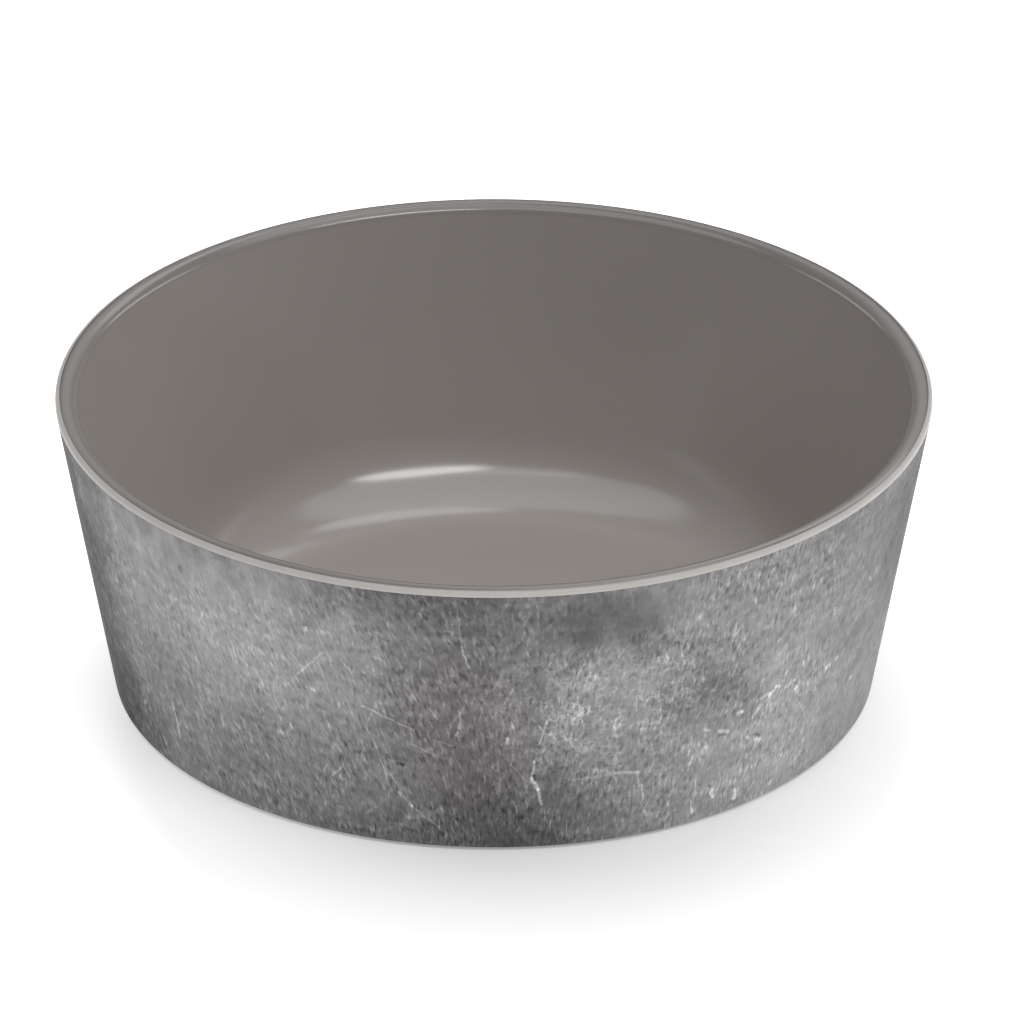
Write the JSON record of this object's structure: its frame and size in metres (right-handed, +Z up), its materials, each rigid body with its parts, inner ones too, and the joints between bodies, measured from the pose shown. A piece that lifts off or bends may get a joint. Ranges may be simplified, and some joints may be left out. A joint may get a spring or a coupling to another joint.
{
  "type": "pet bowl",
  "caption": "Round straight-sided double-walled pet food bowl with outward-leaning walls, glossy inner liner, printed pewter-look outside and a non-slip ring under the base.",
  "frame": {"origin": "on the bowl's axis, at the level of the ring's underside, where the bowl stands", "axes": "+Z up along the bowl's axis, +Y to the back where the foil's seam is"},
  "size_m": [0.1996, 0.1996, 0.072],
  "materials": {
    "liner": "glossy taupe melamine",
    "shell": "light warm grey melamine, softly glossy",
    "foil": "distressed pewter-look print, satin",
    "ring": "matte dark grey silicone"
  },
  "bodies": {
    "bowl": {"inner_liner": "liner", "outer_shell": "shell", "pewter_foil": "foil"},
    "foot_ring": {"non_slip_ring": "ring"}
  },
  "joints": [
    {"name": "ring_pull_off", "type": "slide", "parent": "bowl", "child": "foot_ring", "axis": [0, 0, -1], "range_m": [0, 0.015]}
  ]
}
